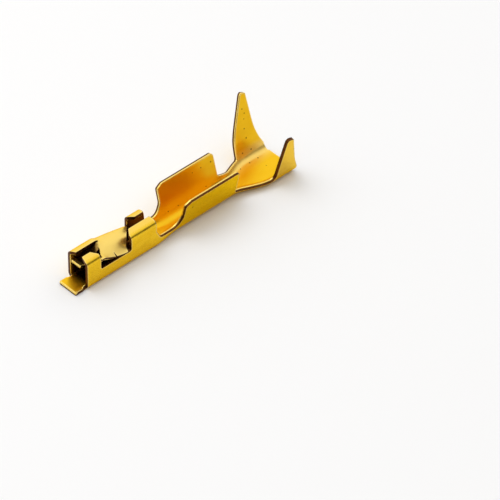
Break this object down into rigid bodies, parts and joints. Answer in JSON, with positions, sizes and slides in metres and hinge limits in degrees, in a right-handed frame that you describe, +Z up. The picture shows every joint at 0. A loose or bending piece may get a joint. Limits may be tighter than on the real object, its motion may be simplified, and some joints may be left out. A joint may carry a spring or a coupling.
{
  "type": "square socket connector contact",
  "caption": "Folded sheet contact with a square spring socket for a post, an open wire barrel and an open insulation barrel.",
  "frame": {"origin": "middle of the floor's underside, at the mouth of the box", "axes": "+X from the mating end to the cable end, +Y towards the wall that carries the spring leaf, +Z up, away from the floor"},
  "size_m": [0.0149, 0.0043, 0.0038],
  "materials": {
    "plated_strip": "bright gold plating on copper alloy strip"
  },
  "bodies": {
    "root": {"crimp_contact": "plated_strip"}
  },
  "joints": []
}
